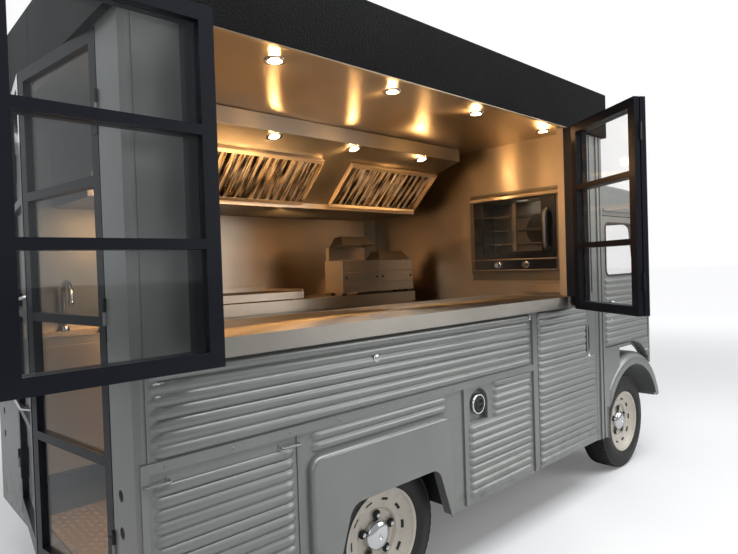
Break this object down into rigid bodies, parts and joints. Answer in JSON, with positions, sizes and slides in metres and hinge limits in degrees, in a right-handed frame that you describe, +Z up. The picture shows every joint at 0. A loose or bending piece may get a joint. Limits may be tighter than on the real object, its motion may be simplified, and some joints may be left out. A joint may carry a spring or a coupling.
{
  "type": "food truck",
  "caption": "Short-wheelbase ribbed delivery van rebuilt as a food truck, with a glazed folding serving hatch, a stainless kitchen, a raised roof box and rear double doors.",
  "frame": {"origin": "on the road under the middle of the whole object as it stands, with its hatch leaves open", "axes": "+X forward to the nose, +Y to the vehicle's left, +Z up; the serving side faces -Y"},
  "size_m": [4.6624, 2.6112, 2.6709],
  "materials": {
    "body_silver": "grey-silver paint with a faint green cast",
    "frame_black": "gloss black powder coat",
    "roof_black": "satin black with a pebbled texture",
    "stainless": "brushed stainless steel",
    "chassis_black": "matt black underseal",
    "rim_cream": "cream paint",
    "tyre": "black rubber",
    "glass": "clear",
    "cast_iron": "cast",
    "lamp_chrome": "chrome with a clear lens",
    "seat_vinyl": "black vinyl",
    "trim_plastic": "matt black"
  },
  "bodies": {
    "body": {"floor": "chassis_black", "rear_axle": "chassis_black", "front_subframe": "chassis_black", "engine": "cast_iron", "left_side": "body_silver", "right_side": "body_silver", "sliding_door": "body_silver", "roof_box": "roof_black", "cab_shell": "body_silver", "windscreen": "glass", "nose": "body_silver", "grille": "body_silver", "front_bumper": "body_silver", "headlamps": "lamp_chrome", "rear_mudguards": "body_silver", "front_mudguards": "body_silver", "counter": "stainless", "hatch_frame": "frame_black", "rear_frame": "body_silver", "lining": "stainless", "oven": "stainless", "hood": "stainless", "worktop": "stainless", "fryer": "stainless", "sink": "stainless", "seats": "seat_vinyl", "dashboard": "trim_plastic"},
    "cab_door_right": {"cab_door_right": "body_silver", "cab_door_right_glass": "glass"},
    "cab_door_left": {"cab_door_left": "body_silver", "cab_door_left_glass": "glass"},
    "bonnet": {"bonnet": "body_silver"},
    "front_leaf_a": {"front_leaf_a": "frame_black", "front_leaf_a_glass": "glass"},
    "front_leaf_b": {"front_leaf_b": "frame_black", "front_leaf_b_glass": "glass"},
    "rear_leaf_a": {"rear_leaf_a": "frame_black", "rear_leaf_a_glass": "glass"},
    "rear_leaf_b": {"rear_leaf_b": "frame_black", "rear_leaf_b_glass": "glass"},
    "rear_door_right": {"rear_door_right": "frame_black", "rear_door_right_glass": "glass"},
    "rear_door_left": {"rear_door_left": "frame_black", "rear_door_left_glass": "glass"},
    "knuckle_right": {"knuckle_right": "chassis_black"},
    "wheel_front_right": {"tyre_front_right": "tyre", "rim_front_right": "rim_cream"},
    "wheel_rear_right": {"tyre_rear_right": "tyre", "rim_rear_right": "rim_cream"},
    "knuckle_left": {"knuckle_left": "chassis_black"},
    "wheel_front_left": {"tyre_front_left": "tyre", "rim_front_left": "rim_cream"},
    "wheel_rear_left": {"tyre_rear_left": "tyre", "rim_rear_left": "rim_cream"}
  },
  "joints": [
    {"name": "steer_right", "type": "hinge", "parent": "body", "child": "knuckle_right", "pos_m": [1.69125, -0.43543, 0.343], "axis": [0, 0, 1], "range_deg": [-28, 28]},
    {"name": "roll_front_right", "type": "hinge", "parent": "knuckle_right", "child": "wheel_front_right", "pos_m": [1.69125, -0.52943, 0.343], "axis": [0, 1, 0], "continuous": true},
    {"name": "roll_rear_right", "type": "hinge", "parent": "body", "child": "wheel_rear_right", "pos_m": [-0.83875, -0.52943, 0.343], "axis": [0, 1, 0], "continuous": true},
    {"name": "cab_door_right_swing", "type": "hinge", "parent": "body", "child": "cab_door_right", "pos_m": [1.97925, -0.69243, 1.15], "axis": [0, 0, 1], "range_deg": [0, 65]},
    {"name": "rear_door_right_swing", "type": "hinge", "parent": "body", "child": "rear_door_right", "pos_m": [-1.95175, -0.48743, 1.39], "axis": [0, 0, 1], "range_deg": [-7.5, 82.5]},
    {"name": "steer_left", "type": "hinge", "parent": "body", "child": "knuckle_left", "pos_m": [1.69125, 1.02057, 0.343], "axis": [0, 0, 1], "range_deg": [-28, 28]},
    {"name": "roll_front_left", "type": "hinge", "parent": "knuckle_left", "child": "wheel_front_left", "pos_m": [1.69125, 1.11457, 0.343], "axis": [0, 1, 0], "continuous": true},
    {"name": "roll_rear_left", "type": "hinge", "parent": "body", "child": "wheel_rear_left", "pos_m": [-0.83875, 1.11457, 0.343], "axis": [0, 1, 0], "continuous": true},
    {"name": "cab_door_left_swing", "type": "hinge", "parent": "body", "child": "cab_door_left", "pos_m": [1.97925, 1.27757, 1.15], "axis": [0, 0, -1], "range_deg": [0, 65]},
    {"name": "rear_door_left_swing", "type": "hinge", "parent": "body", "child": "rear_door_left", "pos_m": [-1.95175, 0.81957, 1.39], "axis": [0, 0, -1], "range_deg": [-7.5, 82.5]},
    {"name": "bonnet_lift", "type": "hinge", "parent": "body", "child": "bonnet", "pos_m": [2.01425, 0.29257, 1.355], "axis": [0, -1, 0], "range_deg": [0, 60]},
    {"name": "front_leaf_swing", "type": "hinge", "parent": "body", "child": "front_leaf_a", "pos_m": [0.73825, -0.77643, 1.8195], "axis": [0, 0, 1], "range_deg": [-57, 33]},
    {"name": "front_leaf_unfold", "type": "hinge", "parent": "front_leaf_a", "child": "front_leaf_b", "pos_m": [0.40466, -1.29012, 1.8195], "axis": [0, 0, -1], "range_deg": [0, 180]},
    {"name": "rear_leaf_swing", "type": "hinge", "parent": "body", "child": "rear_leaf_a", "pos_m": [-1.71175, -0.77643, 1.8195], "axis": [0, 0, 1], "range_deg": [0, 180]},
    {"name": "rear_leaf_unfold", "type": "hinge", "parent": "rear_leaf_a", "child": "rear_leaf_b", "pos_m": [-2.32425, -0.81243, 1.8195], "axis": [0, 0, -1], "range_deg": [0, 180]}
  ],
  "couplings": [
    {"joint": "steer_right", "follows": "steer_left", "ratio": 1},
    {"joint": "rear_leaf_unfold", "follows": "rear_leaf_swing", "ratio": 1}
  ]
}
